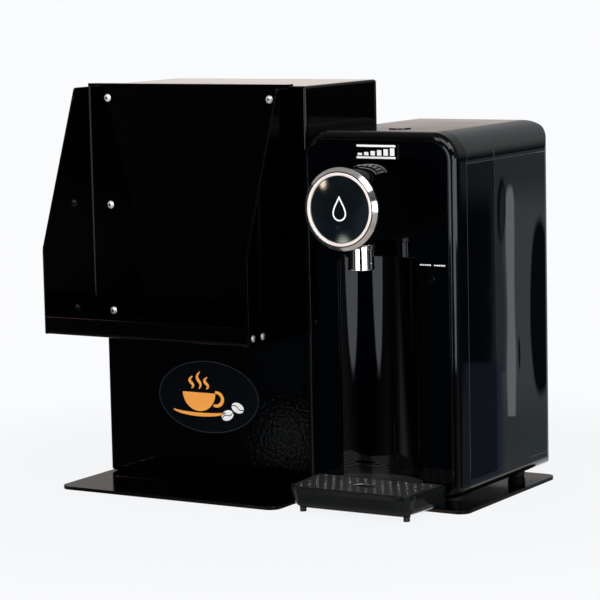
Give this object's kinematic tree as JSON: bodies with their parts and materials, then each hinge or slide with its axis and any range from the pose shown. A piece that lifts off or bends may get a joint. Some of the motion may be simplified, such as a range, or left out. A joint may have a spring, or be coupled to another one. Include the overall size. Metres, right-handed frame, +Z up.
{
  "type": "hot drink dispenser",
  "caption": "Counter-top hot drink station: steel cabinet with an open cup rack beside an instant hot-water unit with a turning knob, spout, cup niche, drip tray and lift-off tank.",
  "frame": {"origin": "underside of the base plate, midway across it, in the plane of the cabinet's front", "axes": "+X to the user's right, the front faces -Y, +Z up"},
  "size_m": [0.3962, 0.2555, 0.3615],
  "materials": {
    "gloss_black_steel": "gloss powder coat",
    "textured_black_steel": "fine orange-peel powder coat, semi-gloss",
    "stainless": "satin stainless steel",
    "dark_screw": "burnished steel",
    "piano_black": "high-gloss moulding",
    "panel_black": "polished panel",
    "button_face": "domed, polished, faintly blue",
    "button_dark": "satin moulding",
    "chrome": "polished",
    "black_rubber": "matt",
    "seal_rubber": "matt",
    "pale_plastic": "moulded",
    "grey_plastic": "moulded",
    "heater_metal": "satin",
    "silicone": "translucent, matt",
    "board_green": "lacquered"
  },
  "bodies": {
    "chassis": {"base_plate": "gloss_black_steel", "rack_bracket": "gloss_black_steel", "rack_tray": "gloss_black_steel", "cabinet_shell": "textured_black_steel", "cabinet_back": "textured_black_steel", "base_screws": "stainless", "base_nuts": "stainless", "cabinet_screws": "stainless", "rack_screws": "stainless", "niche_plate": "stainless", "tray_screws": "dark_screw", "base_skirt": "piano_black", "front_body": "piano_black", "top_cover": "piano_black", "front_frame": "piano_black", "spout_head": "piano_black", "front_panel": "panel_black", "niche_liner": "panel_black", "badge_plate": "panel_black", "nozzle": "chrome", "unit_feet": "black_rubber", "cord_gland": "black_rubber", "socket_seal": "seal_rubber", "tank_socket": "grey_plastic", "pump": "grey_plastic", "rotary_switch": "grey_plastic", "heater": "heater_metal", "inlet_hose": "silicone", "pump_hose": "silicone", "outlet_hose": "silicone", "control_board": "board_green", "power_board": "board_green"},
    "selector_ring": {"selector_ring": "chrome"},
    "dispense_button": {"dispense_button": "button_face"},
    "reset_button": {"reset_button": "button_dark"},
    "top_button": {"top_button": "button_dark"},
    "tank": {"water_tank": "piano_black", "tank_valve": "pale_plastic"},
    "lid": {"tank_lid": "piano_black"},
    "drip_tray": {"drip_tray": "piano_black", "tray_feet": "black_rubber"},
    "drip_grid": {"drip_grid": "stainless"}
  },
  "joints": [
    {"name": "selector_turn", "type": "hinge", "parent": "chassis", "child": "selector_ring", "pos_m": [0.1085, -0.079, 0.2625], "axis": [0, -1, 0], "range_deg": [-60, 60]},
    {"name": "dispense_press", "type": "slide", "parent": "chassis", "child": "dispense_button", "axis": [0, 1, 0], "range_m": [0, 0.002], "stiffness_N_per_m": 600},
    {"name": "reset_press", "type": "slide", "parent": "chassis", "child": "reset_button", "axis": [0, 1, 0], "range_m": [0, 0.0008], "stiffness_N_per_m": 600},
    {"name": "top_press", "type": "slide", "parent": "chassis", "child": "top_button", "axis": [0, 0, -1], "range_m": [0, 0.0015], "stiffness_N_per_m": 800},
    {"name": "tank_lift", "type": "slide", "parent": "chassis", "child": "tank", "axis": [0, 0, 1], "range_m": [0, 0.06]},
    {"name": "lid_swing", "type": "hinge", "parent": "tank", "child": "lid", "pos_m": [0.1085, 0.157, 0.3035], "axis": [-1, 0, 0], "range_deg": [0, 85]},
    {"name": "tray_slide", "type": "slide", "parent": "chassis", "child": "drip_tray", "axis": [0, -1, 0], "range_m": [0, 0.07]},
    {"name": "grid_lift", "type": "slide", "parent": "drip_tray", "child": "drip_grid", "axis": [0, 0, 1], "range_m": [0, 0.03]}
  ]
}
